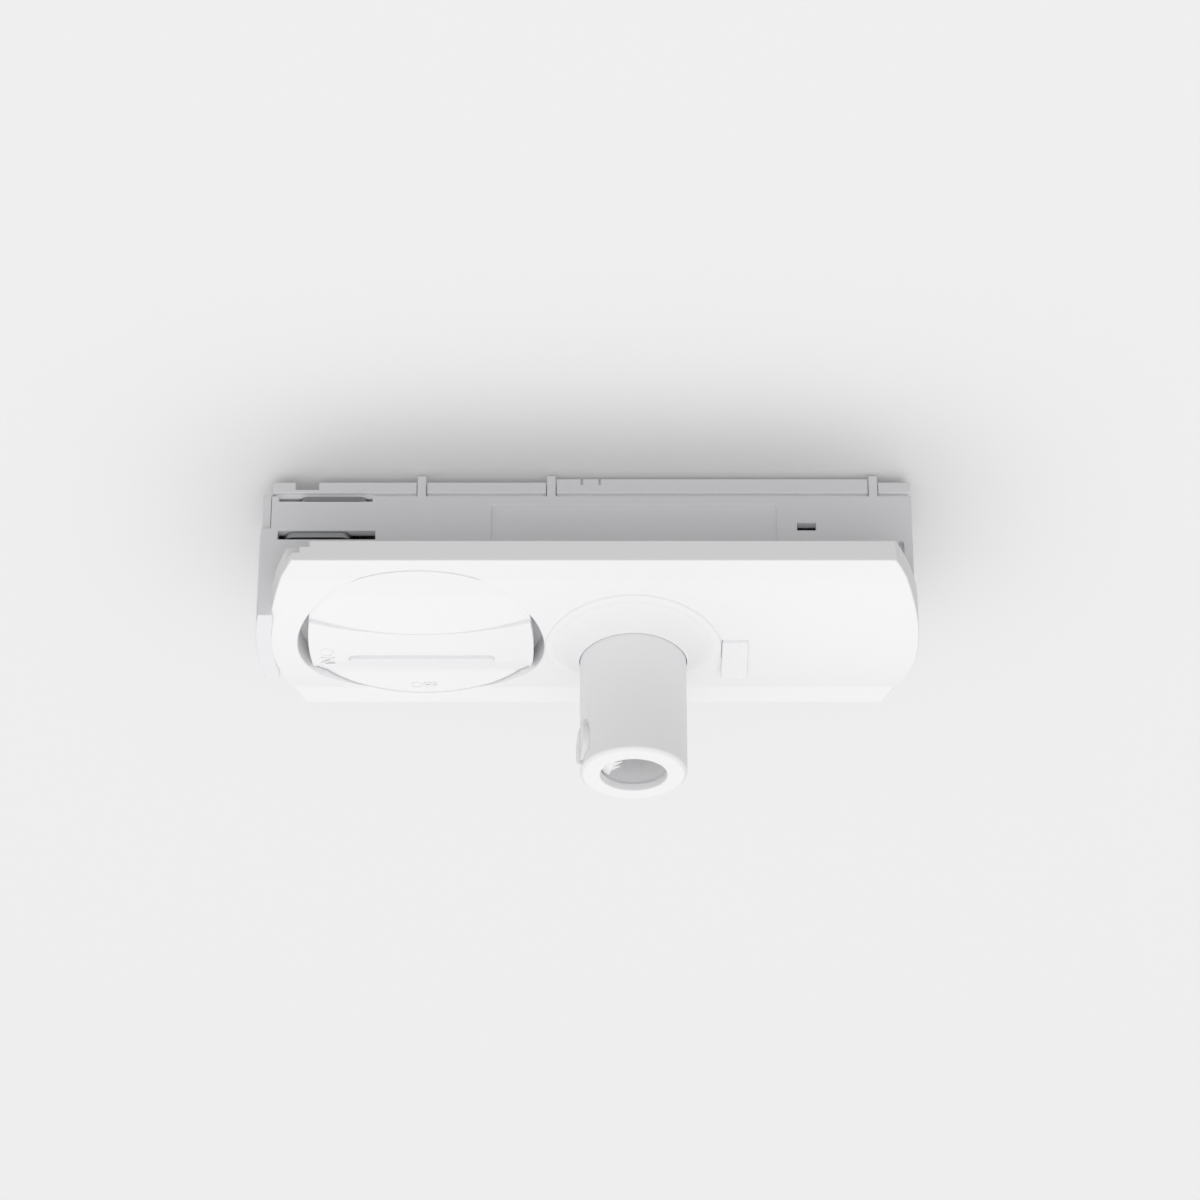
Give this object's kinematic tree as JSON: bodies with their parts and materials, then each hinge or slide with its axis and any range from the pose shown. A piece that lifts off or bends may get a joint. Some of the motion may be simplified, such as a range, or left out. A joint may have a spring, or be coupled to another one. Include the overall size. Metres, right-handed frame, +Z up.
{
  "type": "track light adapter",
  "caption": "White single-circuit track adapter: a vaulted cover with a turning lock knob, a slim housing with contact blades and a cord nozzle with a clamp screw.",
  "frame": {"origin": "middle of the seat plane, where the cover and base plate meet the track's underside", "axes": "+Z up into the track, +X along the track towards the end without the knob, -Y the front"},
  "size_m": [0.0812, 0.035, 0.0377],
  "materials": {
    "white_abs": "fine moulded satin",
    "white_pbt": "moulded",
    "insulator": "moulded",
    "plated_steel": "zinc plated",
    "brass": "rolled strip"
  },
  "bodies": {
    "frame": {"lower_cover": "white_abs", "housing": "white_pbt", "top_lid": "white_pbt", "cord_nozzle": "white_abs", "rotation_stop_key": "white_abs", "cover_screws": "plated_steel", "live_pivot_pin": "plated_steel", "neutral_pivot_pin": "plated_steel", "live_contact_deck": "insulator", "neutral_contact_deck": "insulator", "live_busbar": "brass", "neutral_busbar": "brass", "earth_wiper": "brass", "terminal_block": "insulator", "terminal_clamps": "brass", "terminal_screws": "plated_steel"},
    "knob": {"lock_knob": "white_abs", "lock_wing": "plated_steel", "rotor_cam": "insulator", "rotor_screw": "plated_steel", "friction_washer": "plated_steel"},
    "live_lever": {"live_contact_lever": "plated_steel"},
    "neutral_lever": {"neutral_contact_lever": "plated_steel"},
    "jaw": {"clamp_jaw": "white_abs"},
    "clamp": {"clamp_screw": "white_abs"}
  },
  "joints": [
    {"name": "knob_turn", "type": "hinge", "parent": "frame", "child": "knob", "pos_m": [-0.0212, 0, 0], "axis": [0, 0, 1], "range_deg": [0, 25]},
    {"name": "live_lever_swing", "type": "hinge", "parent": "frame", "child": "live_lever", "pos_m": [-0.0366, -0.003, 0.01155], "axis": [0, 0, 1], "range_deg": [-30, 0]},
    {"name": "neutral_lever_swing", "type": "hinge", "parent": "frame", "child": "neutral_lever", "pos_m": [-0.0058, 0.003, 0.01155], "axis": [0, 0, 1], "range_deg": [-30, 0]},
    {"name": "jaw_slide", "type": "slide", "parent": "frame", "child": "jaw", "axis": [0.9816, 0.1908, 0], "range_m": [0, 0.0021]},
    {"name": "clamp_screw_turn", "type": "hinge", "parent": "jaw", "child": "clamp", "pos_m": [0.0048, 0, -0.019], "axis": [0.9816, 0.1908, 0], "range_deg": [0, 1080]}
  ],
  "couplings": [
    {"joint": "live_lever_swing", "follows": "knob_turn", "ratio": -1.2},
    {"joint": "neutral_lever_swing", "follows": "knob_turn", "ratio": -1.2},
    {"joint": "clamp_screw_turn", "follows": "jaw_slide", "rad_per_m": 8976}
  ]
}
